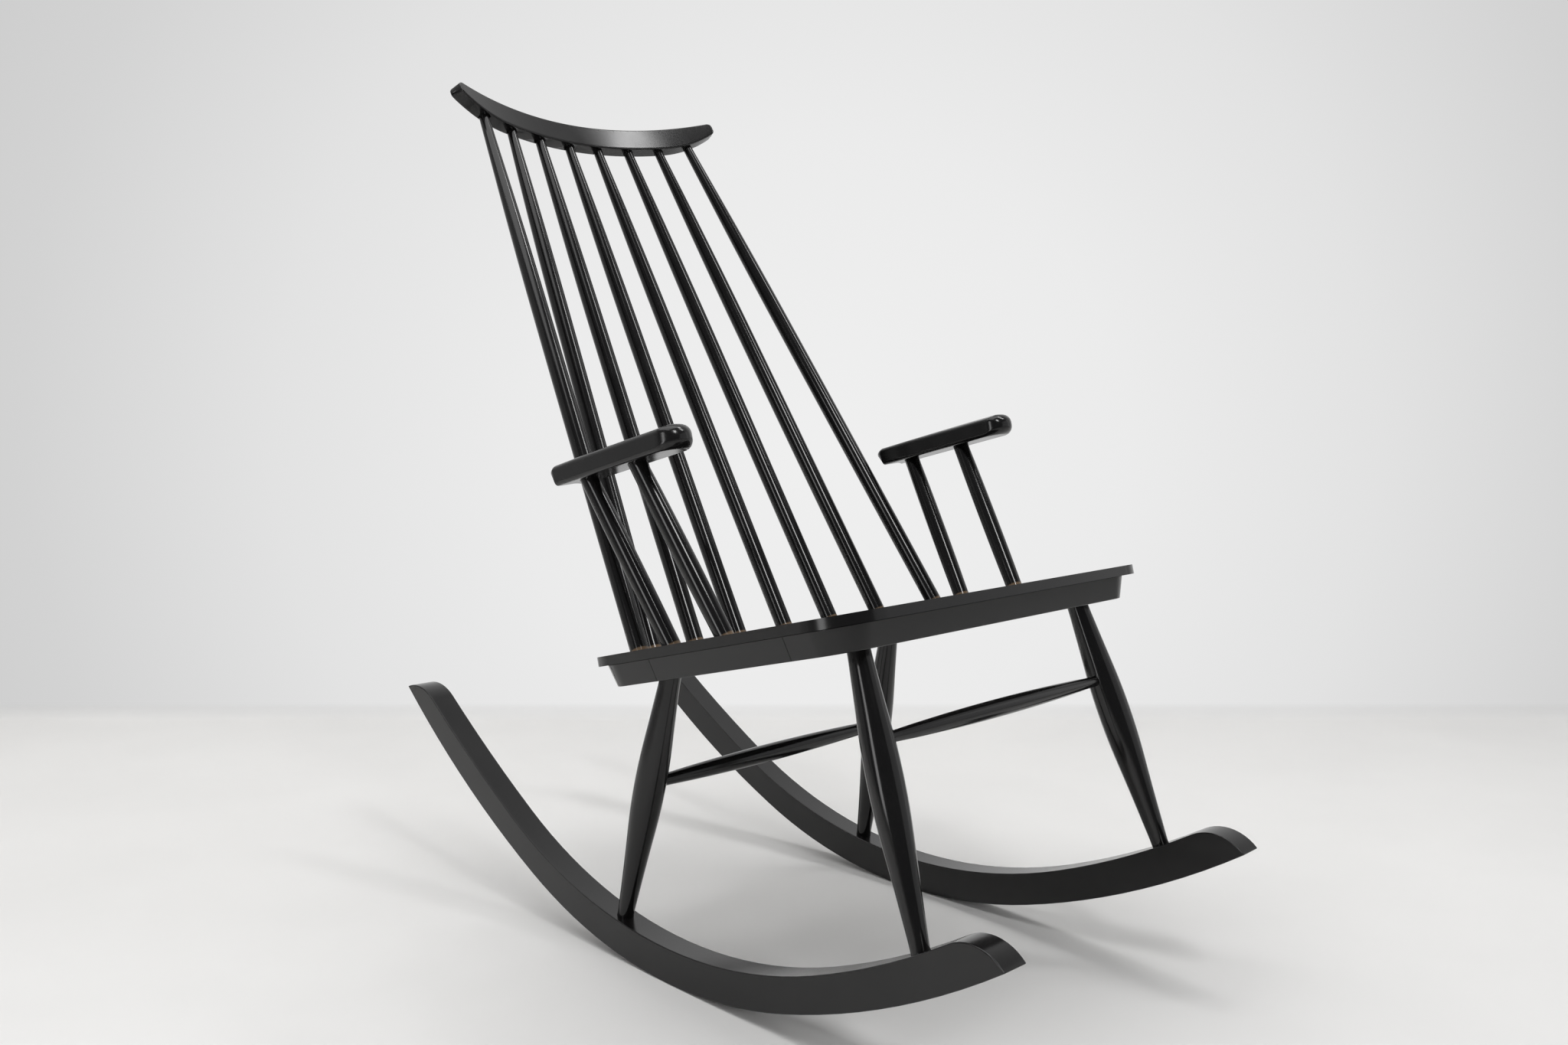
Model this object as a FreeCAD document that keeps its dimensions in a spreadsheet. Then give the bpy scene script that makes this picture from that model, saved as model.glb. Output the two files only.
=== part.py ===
import FreeCAD, Part
import Sketcher

import math
import os

# Comb-back rocking chair: a bent crest rail on eight turned spindles, a sloping plank seat on a
# low frame, arms on turned posts, four turned legs tied by two stretchers, and two curved rockers.
# Millimetres. +Z is up, the sitter faces -Y and +X is the sitter's left. The origin lies on the
# floor, under the middle of the chair's outline.

Vector = FreeCAD.Vector
Placement = FreeCAD.Placement
Rotation = FreeCAD.Rotation

# Driving sizes: lengths in mm, names ending in angle, tilt, lean or toe in degrees
SIZES = {
    # Clearance round and under every tenon, and how far a cutting tool runs past a face
    "joint_gap": 0.3,
    "cut_overrun": 30.0,
    # How far a tenon stays straight outside its socket, where the face is oblique to it
    "tenon_margin": 3.0,
    # Seat panel, measured in its own sloping plane
    "seat_height": 377.1,
    "seat_tilt": 14.13,
    "seat_width": 540.0,
    "seat_front_reach": 374.3,
    "seat_rear_reach": 61.9,
    "seat_rear_bow": 8.3,
    "seat_thickness": 11.0,
    "seat_front_corner": 30.0,
    "seat_rear_corner": 55.0,
    # Frame of four flat rails under the panel
    "frame_depth": 26.0,
    "frame_side_inset": 10.0,
    "frame_front_inset": 18.0,
    "frame_rear_inset": 8.0,
    "frame_front_corner": 45.0,
    "frame_rear_corner": 50.0,
    "frame_undercut_angle": 15.9,
    "front_rail_width": 80.0,
    "rear_rail_width": 116.0,
    "side_rail_width": 80.0,
    # Crest rail: a plank bent forward at its ends, leaning back with the spindles
    "crest_reach": 382.9,
    "crest_height": 1011.5,
    "crest_lean": 32.0,
    "crest_half_length": 214.7,
    "crest_bend_radius": 545.0,
    "crest_thickness": 19.3,
    "crest_middle_depth": 32.6,
    "crest_end_rise": 4.1,
    "crest_corner_rise": 23.0,
    "crest_belly_dip": 1.1,
    "crest_belly_half_length": 133.0,
    "crest_corner_round": 5.0,
    # Back spindles, tapered over their upper part
    "spindle_foot_diameter": 21.3,
    "spindle_top_diameter": 12.4,
    "spindle_taper_length": 346.0,
    "spindle_crest_depth": 14.0,
    # Arms, parallel to the seat: their middle lines lie outside the panel, and their ends run
    # past the posts
    "arm_height": 195.3,
    "arm_outset": 5.5,
    "arm_front_overhang": 82.9,
    "arm_rear_overhang": 57.2,
    "arm_width": 45.4,
    "arm_thickness": 27.1,
    "arm_crown": 3.0,
    "arm_top_round": 7.0,
    "arm_bottom_round": 3.0,
    "arm_cap_round": 13.0,
    "arm_heel_round": 14.0,
    "arm_heel_run": 7.0,
    # Arm posts, slightly barrelled
    "post_foot_diameter": 20.5,
    "post_top_diameter": 20.0,
    "post_middle_diameter": 21.8,
    "post_foot_inset": 19.5,
    "post_front_setback": 192.8,
    "post_spacing": 87.7,
    "post_head_setback": 62.7,
    "post_arm_depth": 17.0,
    # Legs, with a swell below the seat and faintly hollow tapers
    "leg_foot_diameter": 19.6,
    "leg_top_diameter": 24.6,
    "leg_swell_diameter": 37.4,
    "leg_swell_radius": 770.0,
    "leg_taper_radius": 4000.0,
    "front_leg_top_inset": 77.6,
    "front_leg_top_setback": 63.2,
    "front_leg_stride": 104.4,
    "rear_leg_top_inset": 79.8,
    "rear_leg_top_setback": 69.9,
    "rear_leg_stride": 62.1,
    "leg_seat_depth": 20.0,
    "leg_rocker_depth": 18.0,
    # Stretchers, slightly barrelled
    "front_stretcher_foot_diameter": 11.8,
    "front_stretcher_top_diameter": 11.8,
    "front_stretcher_middle_diameter": 19.5,
    "rear_stretcher_foot_diameter": 14.5,
    "rear_stretcher_top_diameter": 14.5,
    "rear_stretcher_middle_diameter": 22.0,
    "stretcher_stop": 4.0,
    # Rockers: chains of three arcs below and above, with rounded noses and tails
    "rocker_thickness": 33.0,
    "rocker_inset": 58.2,
    "rocker_toe": 0.7735,
    "rocker_low_reach": 52.0,
    "rocker_depth": 41.4,
    "rocker_half_length": 526.0,
    "rocker_sole_radius": 655.0,
    "rocker_sole_front_radius": 1056.0,
    "rocker_sole_rear_radius": 1346.0,
    "rocker_sole_front_angle": 16.8,
    "rocker_sole_rear_angle": 24.3,
    "rocker_top_radius": 658.0,
    "rocker_top_front_radius": 1030.0,
    "rocker_top_rear_radius": 2130.0,
    "rocker_top_front_angle": 20.8,
    "rocker_top_rear_angle": 28.9,
    "rocker_nose_length": 64.0,
    "rocker_nose_radius": 52.0,
    "rocker_tail_length": 66.0,
    "rocker_tail_radius": 72.0,
}

# Spindles from the middle outward: feet as shares of the seat's half width, and of its length
# measured forward from the rear edge; heads as shares of the crest rail's half length
SPINDLE_FOOT_SPREAD_SHARES = (0.149, 0.435, 0.720, 0.939)
SPINDLE_FOOT_INSET_SHARES = (0.068, 0.085, 0.120, 0.237)
SPINDLE_HEAD_SPREAD_SHARES = (0.115, 0.354, 0.589, 0.812)
# How deep spindles and posts sit in the panel, as a share of its thickness
SEAT_SOCKET_SHARE = 0.6
# Where a spindle's head enters the crest rail, as a share of its thickness from the front
SPINDLE_HEAD_THICKNESS_SHARE = 0.6
# The legs' widest point, and the stretchers' ends, as shares of the leg from its top
LEG_SWELL_SHARE = 0.44
FRONT_STRETCHER_SHARE = 0.311
REAR_STRETCHER_SHARE = 0.437

# A turned piece is one profile swept through this many equal sectors
SPINDLE_SECTORS = 4
POST_SECTORS = 3
STRETCHER_SECTORS = 3
LEG_SECTORS = 6

DOC = FreeCAD.newDocument("CombBackRocker")
SHEET = DOC.addObject("Spreadsheet::Sheet", "Sizes")
ROWS = []


def add_size(alias, value):
    """Write one size into the sheet, so that expressions can name it."""
    cell = "B%d" % (len(ROWS) + 1)
    SHEET.set("A%d" % (len(ROWS) + 1), alias)
    SHEET.set(cell, "%.9g" % value)
    SHEET.setAlias(cell, alias)
    ROWS.append(alias)
    return alias


def size(alias):
    return SIZES[alias]


def bind(thing, prop, formula):
    thing.setExpression(prop, formula)


for name, number in SIZES.items():
    add_size(name, number)

# Sketch helpers


def new_body(label):
    body = DOC.addObject("PartDesign::Body", label)
    body.Label = label
    return body


def new_sketch(body, name, role):
    sketch = body.newObject("Sketcher::SketchObject", name)
    plane = [feature for feature in body.Origin.OriginFeatures if feature.Role == role][0]
    sketch.AttachmentSupport = [(plane, "")]
    sketch.MapMode = "FlatFace"
    return sketch


class Loop:
    """A closed outline of lines and arcs, joined end to end in a sketch."""

    def __init__(self, sketch):
        self.sketch = sketch
        self.parts = []

    def line(self, start, end):
        geometry = Part.LineSegment(Vector(*start), Vector(*end))
        self.parts.append((self.sketch.addGeometry(geometry, False), 1, 2))
        return self.parts[-1]

    def arc(self, centre, start, end, turn):
        """An arc from start to end, turning left where turn is 1 and right where it is -1."""
        first = math.atan2(start[1] - centre[1], start[0] - centre[0])
        last = math.atan2(end[1] - centre[1], end[0] - centre[0])
        if turn < 0:
            first, last = last, first
        if last < first:
            last += 2.0 * math.pi
        radius = math.hypot(start[0] - centre[0], start[1] - centre[1])
        circle = Part.Circle(Vector(*centre), Vector(0, 0, 1), radius)
        geometry = Part.ArcOfCircle(circle, first, last)
        ends = (1, 2) if turn > 0 else (2, 1)
        self.parts.append((self.sketch.addGeometry(geometry, False),) + ends)
        return self.parts[-1]

    def close(self, smooth=()):
        """Join the outline's pieces, tangent after those listed in smooth."""
        for index, part in enumerate(self.parts):
            following = self.parts[(index + 1) % len(self.parts)]
            kind = "Tangent" if index in smooth else "Coincident"
            self.sketch.addConstraint(
                Sketcher.Constraint(kind, part[0], part[2], following[0], following[1]))

    def radius(self, part, alias):
        """Tie an arc's radius to a size of the sheet."""
        index = self.sketch.addConstraint(Sketcher.Constraint("Radius", part[0], size_of(alias)))
        bind(self.sketch, "Constraints[%d]" % index, "Sizes." + alias)

    def place(self, part, end, across=None, along=None):
        """Fix a point of the outline at named distances from the sketch's origin."""
        for kind, formula in (("DistanceX", across), ("DistanceY", along)):
            if formula is None:
                continue
            point = self.sketch.getPoint(part[0], end)
            value = point.x if kind == "DistanceX" else point.y
            if value < 0:
                refs = (part[0], end, -1, 1)
            else:
                refs = (-1, 1, part[0], end)
            index = self.sketch.addConstraint(Sketcher.Constraint(kind, *refs, abs(value)))
            bind(self.sketch, "Constraints[%d]" % index, formula)


DERIVED = {}


def size_of(alias):
    return SIZES[alias] if alias in SIZES else DERIVED[alias]


def derive(alias, value):
    """Add a size that follows from others to the sheet."""
    DERIVED[alias] = value
    add_size(alias, value)
    return value


def pad(body, sketch, formula, midplane=False, reverse=False, taper=None):
    feature = body.newObject("PartDesign::Pad", sketch.Name + "Pad")
    feature.Profile = sketch
    bind(feature, "Length", formula)
    feature.Midplane = midplane
    feature.Reversed = reverse
    if taper:
        bind(feature, "TaperAngle", taper)
    sketch.Visibility = False
    return feature


def revolve(body, sketch, sectors):
    """Turn a profile as equal sectors, patterned round the axis."""
    sector = body.newObject("PartDesign::Revolution", sketch.Name + "Sector")
    sector.Profile = sketch
    sector.ReferenceAxis = (sketch, ["V_Axis"])
    sector.Angle = 360.0 / sectors
    sector.Refine = False
    sketch.Visibility = False
    turning = body.newObject("PartDesign::PolarPattern", sketch.Name + "Turning")
    turning.Originals = [sector]
    turning.Axis = (sketch, ["V_Axis"])
    turning.Angle = 360.0
    turning.Occurrences = sectors
    turning.Refine = False
    body.Tip = turning
    return turning


def along(start, end):
    """A placement at start with its Z axis toward end."""
    return Placement(start, Rotation(Vector(0, 0, 1), end - start))


def common(label, *pieces):
    feature = DOC.addObject("Part::MultiCommon", label)
    feature.Label = label
    feature.Shapes = list(pieces)
    return feature


def cut(label, base, tools):
    group = DOC.addObject("Part::Compound", label + "_cutters")
    group.Links = list(tools)
    feature = DOC.addObject("Part::Cut", label)
    feature.Label = label
    feature.Base = base
    feature.Tool = group
    return feature


# Frames: the seat's plane, with its own Z square to the panel, and the crest rail's
SEAT = Placement(Vector(0, 0, size("seat_height")), Rotation(Vector(1, 0, 0), -size("seat_tilt")))
CREST = Placement(
    Vector(0, size("crest_reach"), size("crest_height")),
    Rotation(Vector(1, 0, 0), -size("crest_lean")))


# Half widths, and the arm posts' places along the seat
HALF_SEAT = size("seat_width") / 2.0
ARM_SPREAD = HALF_SEAT + size("arm_outset")
POST_FRONT = size("seat_front_reach") - size("post_front_setback")
POST_REAR = POST_FRONT - size("post_spacing")


def on_seat(across, forward, above=0.0):
    """A point given in the seat's plane: across, toward the front and above the panel."""
    return SEAT.multVec(Vector(across, -forward, above))


def toward(start, end, distance):
    """The point at a distance from start on the way to end."""
    return start + (end - start).normalize() * distance


# Turned pieces


def circle_through(start, end, radius, turn):
    """Centre of the circle through two points that the arc between them turns about."""
    chord = math.hypot(end[0] - start[0], end[1] - start[1])
    height = math.sqrt(radius * radius - chord * chord / 4.0)
    middle = ((start[0] + end[0]) / 2.0, (start[1] + end[1]) / 2.0)
    return (middle[0] - turn * height * (end[1] - start[1]) / chord,
            middle[1] + turn * height * (end[0] - start[0]) / chord)


def finish_profile(loop, side, prefix, length_alias):
    """Close a turned profile on the axis, and fix the corners of its two straight tenons."""
    foot, foot_tenon = loop.parts[0], loop.parts[1]
    head_tenon, head, axis = loop.parts[-3], loop.parts[-2], loop.parts[-1]
    loop.close(side)
    sketch = loop.sketch
    sketch.addConstraint(Sketcher.Constraint("Coincident", foot[0], 1, -1, 1))
    sketch.addConstraint(Sketcher.Constraint("Horizontal", foot[0]))
    sketch.addConstraint(Sketcher.Constraint("Vertical", foot_tenon[0]))
    sketch.addConstraint(Sketcher.Constraint("Vertical", head_tenon[0]))
    sketch.addConstraint(Sketcher.Constraint("Horizontal", head[0]))
    sketch.addConstraint(Sketcher.Constraint("Vertical", axis[0]))
    loop.place(foot, 2, across="Sizes.%s_foot_diameter / 2" % prefix)
    loop.place(head, 1, across="Sizes.%s_top_diameter / 2" % prefix,
               along="Sizes." + length_alias)


def spindle_profile(loop, length_alias, foot_tenon, head_tenon):
    """Straight from the foot, then narrowing to the head in one long arc."""
    length = size_of(length_alias)
    foot = size("spindle_foot_diameter") / 2.0
    head = size("spindle_top_diameter") / 2.0
    neck = length - head_tenon
    start = neck - size("spindle_taper_length")
    drop = foot - head
    radius = (size("spindle_taper_length") ** 2 + drop * drop) / (2.0 * drop)
    loop.line((0, 0), (foot, 0))
    shaft = loop.line((foot, 0), (foot, start))
    taper = loop.arc((foot - radius, start), (foot, start), (head, neck), 1)
    loop.line((head, neck), (head, length))
    loop.line((head, length), (0, length))
    loop.line((0, length), (0, 0))
    finish_profile(loop, (1,), "spindle", length_alias)
    neck_alias = length_alias.replace("length", "neck")
    derive(neck_alias, neck)
    loop.place(shaft, 2, along="Sizes.%s - Sizes.spindle_taper_length" % neck_alias)
    loop.place(taper, 2, along="Sizes." + neck_alias)


def barrel_profile(prefix):
    """A profile that swells evenly from both tenons to the named middle diameter."""

    def draw(loop, length_alias, foot_tenon, head_tenon):
        length = size_of(length_alias)
        foot = size(prefix + "_foot_diameter") / 2.0
        head = size(prefix + "_top_diameter") / 2.0
        neck = length - head_tenon
        chord = math.hypot(neck - foot_tenon, head - foot)
        bulge = size(prefix + "_middle_diameter") / 2.0 - (foot + head) / 2.0
        radius = (chord * chord / 4.0 + bulge * bulge) / (2.0 * bulge)
        radius_alias = length_alias.replace("length", "barrel_radius")
        derive(radius_alias, radius)
        centre = circle_through((foot, foot_tenon), (head, neck), radius, 1)
        loop.line((0, 0), (foot, 0))
        shank = loop.line((foot, 0), (foot, foot_tenon))
        barrel = loop.arc(centre, (foot, foot_tenon), (head, neck), 1)
        loop.line((head, neck), (head, length))
        loop.line((head, length), (0, length))
        loop.line((0, length), (0, 0))
        finish_profile(loop, (), prefix, length_alias)
        neck_alias = length_alias.replace("length", "neck")
        derive(neck_alias, neck)
        shank_alias = length_alias.replace("length", "shank")
        derive(shank_alias, foot_tenon)
        loop.radius(barrel, radius_alias)
        loop.place(shank, 2, along="Sizes." + shank_alias)
        loop.place(barrel, 2, along="Sizes." + neck_alias)

    return draw


def taper_centre(point, radius, centre, swell_radius, side):
    """Centre of the hollow taper's arc, which passes a point and touches the swell's circle."""
    away = math.hypot(point[0] - centre[0], point[1] - centre[1])
    reach = swell_radius + radius
    heading = math.atan2(point[1] - centre[1], point[0] - centre[0])
    turn = math.acos((away * away + reach * reach - radius * radius) / (2.0 * away * reach))
    angle = heading + side * turn
    return (centre[0] + reach * math.cos(angle), centre[1] + reach * math.sin(angle))


def leg_profile(loop, length_alias, foot_tenon, head_tenon):
    """Hollow tapers up to, and down from, a swell that is one arc."""
    length = size_of(length_alias)
    foot = size("leg_foot_diameter") / 2.0
    head = size("leg_top_diameter") / 2.0
    radius = size("leg_swell_radius")
    neck = length - head_tenon
    belly = neck - LEG_SWELL_SHARE * (neck - foot_tenon)
    aliases = {}
    for name, value in (("shank", foot_tenon), ("neck", neck), ("swell", belly)):
        aliases[name] = length_alias.replace("length", name)
        derive(aliases[name], value)
    centre = (size("leg_swell_diameter") / 2.0 - radius, belly)
    hollow = size("leg_taper_radius")
    below = taper_centre((foot, foot_tenon), hollow, centre, radius, 1)
    above = taper_centre((head, neck), hollow, centre, radius, -1)
    share = radius / (radius + hollow)
    lower, upper = [tuple(near + (away - near) * share for near, away in zip(centre, far))
                    for far in (below, above)]
    loop.line((0, 0), (foot, 0))
    shank = loop.line((foot, 0), (foot, foot_tenon))
    rise = loop.arc(below, (foot, foot_tenon), lower, -1)
    swell = loop.arc(centre, lower, upper, 1)
    taper = loop.arc(above, upper, (head, neck), -1)
    loop.line((head, neck), (head, length))
    loop.line((head, length), (0, length))
    loop.line((0, length), (0, 0))
    finish_profile(loop, (2, 3), "leg", length_alias)
    loop.place(shank, 2, along="Sizes." + aliases["shank"])
    loop.place(taper, 1, along="Sizes." + aliases["neck"])
    for part, alias in ((rise, "taper"), (swell, "swell"), (taper, "taper")):
        loop.radius(part, "leg_%s_radius" % alias)
    loop.place(swell, 3, across="Sizes.leg_swell_radius - Sizes.leg_swell_diameter / 2",
               along="Sizes." + aliases["swell"])


def socket(label, mouth, outside, diameter_alias, depth_alias):
    """A cylinder that bores a socket, to take a tenon with the joint gap round and under it.

    The tenon comes from outside and enters at the mouth.
    """
    tool = DOC.addObject("Part::Cylinder", label)
    bind(tool, "Radius", "Sizes.%s / 2 + Sizes.joint_gap" % diameter_alias)
    bind(tool, "Height", "Sizes.%s + Sizes.joint_gap + Sizes.cut_overrun" % depth_alias)
    floor = toward(mouth, outside, -(size_of(depth_alias) + size("joint_gap")))
    tool.Placement = along(floor, outside)
    return tool


# Seat panel and the frame below it


def rear_bend(half, corner, bow):
    """Radius of the rear edge, which stands out by the bow between its corners."""
    chord = half - corner
    return (chord * chord + bow * bow) / (2.0 * bow)


def seat_outline(loop, half, front, rear, bow, front_corner, rear_corner, names):
    """Straight front and sides, round corners and a rear edge bowed backward."""
    bend = rear_bend(half, rear_corner, bow)
    centre_y = rear - bend
    # The corner arc touches the side and the rear arc from inside
    offset = half - rear_corner
    drop = math.sqrt((bend - rear_corner) ** 2 - offset * offset)
    corner_y = centre_y + drop
    scale = bend / (bend - rear_corner)
    touch = (offset * scale, centre_y + drop * scale)
    parts = [
        loop.line((-half + front_corner, -front), (half - front_corner, -front)),
        loop.arc((half - front_corner, -front + front_corner), (half - front_corner, -front),
                 (half, -front + front_corner), 1),
        loop.line((half, -front + front_corner), (half, corner_y)),
        loop.arc((offset, corner_y), (half, corner_y), touch, 1),
        loop.arc((0, centre_y), touch, (-touch[0], touch[1]), 1),
        loop.arc((-offset, corner_y), (-touch[0], touch[1]), (-half, corner_y), 1),
        loop.line((-half, corner_y), (-half, -front + front_corner)),
        loop.arc((-half + front_corner, -front + front_corner), (-half, -front + front_corner),
                 (-half + front_corner, -front), 1),
    ]
    loop.close(range(len(parts)))
    sketch = loop.sketch
    sketch.addConstraint(Sketcher.Constraint("Horizontal", parts[0][0]))
    sketch.addConstraint(Sketcher.Constraint("Vertical", parts[2][0]))
    sketch.addConstraint(Sketcher.Constraint("Vertical", parts[6][0]))
    for part, alias in ((1, "front_corner"), (3, "rear_corner"), (4, "rear_bend")):
        loop.radius(parts[part], names[alias])
    sketch.addConstraint(Sketcher.Constraint("Equal", parts[1][0], parts[7][0]))
    sketch.addConstraint(Sketcher.Constraint("Equal", parts[3][0], parts[5][0]))
    loop.place(parts[0], 2, along=names["front"])
    loop.place(parts[2], 1, across=names["half"])
    loop.place(parts[6], 1, across=names["half"])
    sketch.addConstraint(Sketcher.Constraint("PointOnObject", parts[4][0], 3, -2))
    loop.place(parts[4], 3, along=names["bend_centre"])


def seat_sketch(body, name, inset_side, inset_front, inset_rear, front_corner, rear_corner):
    """Outline of the panel, or of the frame inset from it."""
    half = HALF_SEAT - (size(inset_side) if inset_side else 0.0)
    front = size("seat_front_reach") - (size(inset_front) if inset_front else 0.0)
    rear = size("seat_rear_reach") - (size(inset_rear) if inset_rear else 0.0)
    bend = rear_bend(half, size(rear_corner), size("seat_rear_bow"))
    derive(name + "_rear_bend", bend)
    derive(name + "_bend_centre", bend - rear)
    names = {
        "half": "Sizes.seat_width / 2" + (" - Sizes." + inset_side if inset_side else ""),
        "front": "Sizes.seat_front_reach" + (" - Sizes." + inset_front if inset_front else ""),
        "front_corner": front_corner,
        "rear_corner": rear_corner,
        "rear_bend": name + "_rear_bend",
        "bend_centre": "Sizes.%s_bend_centre" % name,
    }
    sketch = new_sketch(body, name + "_outline", "XY_Plane")
    seat_outline(Loop(sketch), half, front, rear, size("seat_rear_bow"), size(front_corner),
                 size(rear_corner), names)
    return sketch


def make_seat(bores):
    """The panel, bored for spindles and posts."""
    blank = new_body("seat_panel_blank")
    sketch = seat_sketch(blank, "seat_panel", None, None, None, "seat_front_corner",
                         "seat_rear_corner")
    pad(blank, sketch, "Sizes.seat_thickness", reverse=True)
    blank.Placement = SEAT
    return cut("seat_panel", blank, bores)


def rail_box(label, low, high):
    """A block in the seat's frame that keeps one rail of the frame."""
    block = DOC.addObject("Part::Box", label)
    derive(label + "_length", high[0] - low[0])
    derive(label + "_width", high[1] - low[1])
    bind(block, "Length", "Sizes.%s_length" % label)
    bind(block, "Width", "Sizes.%s_width" % label)
    bind(block, "Height", "Sizes.seat_thickness + Sizes.frame_depth + 2 * Sizes.cut_overrun")
    bottom = -(size("seat_thickness") + size("frame_depth") + size("cut_overrun"))
    block.Placement = SEAT.multiply(Placement(Vector(low[0], low[1], bottom), Rotation()))
    return block


def make_frame(bores):
    """Four rails: front and rear run the whole width, and the sides fit between them."""
    blank = new_body("seat_frame_blank")
    sketch = seat_sketch(blank, "seat_frame", "frame_side_inset", "frame_front_inset",
                         "frame_rear_inset", "frame_front_corner", "frame_rear_corner")
    pad(blank, sketch, "Sizes.frame_depth", reverse=True, taper="-Sizes.frame_undercut_angle")
    blank.Placement = SEAT.multiply(Placement(Vector(0, 0, -size("seat_thickness")), Rotation()))
    half = HALF_SEAT - size("frame_side_inset")
    front = -(size("seat_front_reach") - size("frame_front_inset"))
    rear = size("seat_rear_reach") - size("frame_rear_inset")
    front_line = front + size("front_rail_width")
    rear_line = rear - size("rear_rail_width")
    side_line = half - size("side_rail_width")
    blocks = {
        "seat_rail_front": ((-half, front), (half, front_line)),
        "seat_rail_rear": ((-half, rear_line), (half, rear)),
        "seat_rail_left": ((side_line, front_line), (half, rear_line)),
        "seat_rail_right": ((-half, front_line), (-side_line, rear_line)),
    }
    rails = []
    for label, (low, high) in blocks.items():
        bored = label in bores
        whole = common(label + "_whole" if bored else label, blank,
                       rail_box(label + "_block", low, high))
        rails.append(cut(label, whole, bores[label]) if bored else whole)
    return rails


# Crest rail


def crest_edge(across):
    """Height of the rail's lower edge: a slight belly, then a sweep up to each corner."""
    start = size("crest_belly_half_length")
    dip = size("crest_belly_dip")
    if across < start:
        return -dip * (1.0 - (across / start) ** 2)
    bend = crest_corner_radius()
    return bend - math.sqrt(bend * bend - (across - start) ** 2)


def crest_reach():
    """Half length of the rail's back face, which is the longer one."""
    return size("crest_half_length") * (1.0 + size("crest_thickness") / size("crest_bend_radius"))


def crest_corner_radius():
    run = crest_reach() - size("crest_belly_half_length")
    rise = size("crest_corner_rise")
    return (run * run + rise * rise) / (2.0 * rise)


def crest_back(across, share_through):
    """How far behind the rail's front middle a point lies, at a share of its thickness."""
    radius = size("crest_bend_radius") + share_through * size("crest_thickness")
    return math.sqrt(radius * radius - across * across) - size("crest_bend_radius")


def crest_band_sketch(body):
    """Plan of the bent plank: two concentric arcs with square ends."""
    inner = size("crest_bend_radius")
    outer = inner + size("crest_thickness")
    half = math.asin(size("crest_half_length") / inner)
    centre = (0, -inner)
    corners = [(radius * math.sin(angle), radius * math.cos(angle) - inner)
               for radius, angle in ((inner, -half), (inner, half), (outer, half), (outer, -half))]
    loop = Loop(new_sketch(body, "crest_plan", "XY_Plane"))
    front = loop.arc(centre, corners[0], corners[1], -1)
    loop.line(corners[1], corners[2])
    back = loop.arc(centre, corners[2], corners[3], 1)
    loop.line(corners[3], corners[0])
    loop.close()
    sketch = loop.sketch
    sketch.addConstraint(Sketcher.Constraint("Coincident", front[0], 3, back[0], 3))
    sketch.addConstraint(Sketcher.Constraint("PointOnObject", front[0], 3, -2))
    loop.place(front, 3, along="Sizes.crest_bend_radius")
    loop.radius(front, "crest_bend_radius")
    derive("crest_back_radius", outer)
    loop.radius(back, "crest_back_radius")
    for end in (1, 2):
        loop.place(front, end, across="Sizes.crest_half_length")
        loop.place(back, end, across="Sizes.crest_half_length * Sizes.crest_back_radius"
                   " / Sizes.crest_bend_radius")
    return sketch


def crest_face_sketch(body):
    """Elevation of the rail: a nearly straight top edge, and corners swept up below."""
    reach = crest_reach()
    start = size("crest_belly_half_length")
    dip = size("crest_belly_dip")
    rise = size("crest_end_rise")
    top = size("crest_middle_depth")
    round_off = size("crest_corner_round")
    corner = size("crest_corner_rise")
    belly = (start * start + dip * dip) / (2.0 * dip)
    crown = (reach * reach + rise * rise) / (2.0 * rise)
    bend = crest_corner_radius()
    shoulder = reach - round_off
    lip = top + crown - math.sqrt(crown * crown - shoulder * shoulder)
    loop = Loop(new_sketch(body, "crest_face", "XZ_Plane"))
    loop.arc((0, belly - dip), (-start, 0), (start, 0), 1)
    loop.arc((start, bend), (start, 0), (reach, corner), 1)
    loop.line((reach, corner), (reach, lip - round_off))
    loop.arc((shoulder, lip - round_off), (reach, lip - round_off), (shoulder, lip), 1)
    loop.arc((0, top + crown), (shoulder, lip), (-shoulder, lip), -1)
    loop.arc((-shoulder, lip - round_off), (-shoulder, lip), (-reach, lip - round_off), 1)
    loop.line((-reach, lip - round_off), (-reach, corner))
    loop.arc((-start, bend), (-reach, corner), (-start, 0), 1)
    loop.close()
    for part in loop.parts:
        loop.sketch.addConstraint(Sketcher.Constraint("Block", part[0]))
    return loop.sketch


def make_crest(bores):
    band = new_body("crest_band")
    derive("crest_blank_depth", size("crest_middle_depth") + 2.0 * size("cut_overrun"))
    pad(band, crest_band_sketch(band), "Sizes.crest_blank_depth")
    band.Placement = CREST.multiply(Placement(Vector(0, 0, -size("cut_overrun")), Rotation()))
    face = new_body("crest_elevation")
    derive("crest_sweep", -crest_back(size("crest_half_length"), 0.0))
    pad(face, crest_face_sketch(face),
        "2 * (Sizes.crest_sweep + Sizes.crest_thickness + Sizes.cut_overrun)", midplane=True)
    face.Placement = CREST
    return cut("crest_rail", common("crest_whole", band, face), bores)


# Arms


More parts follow.
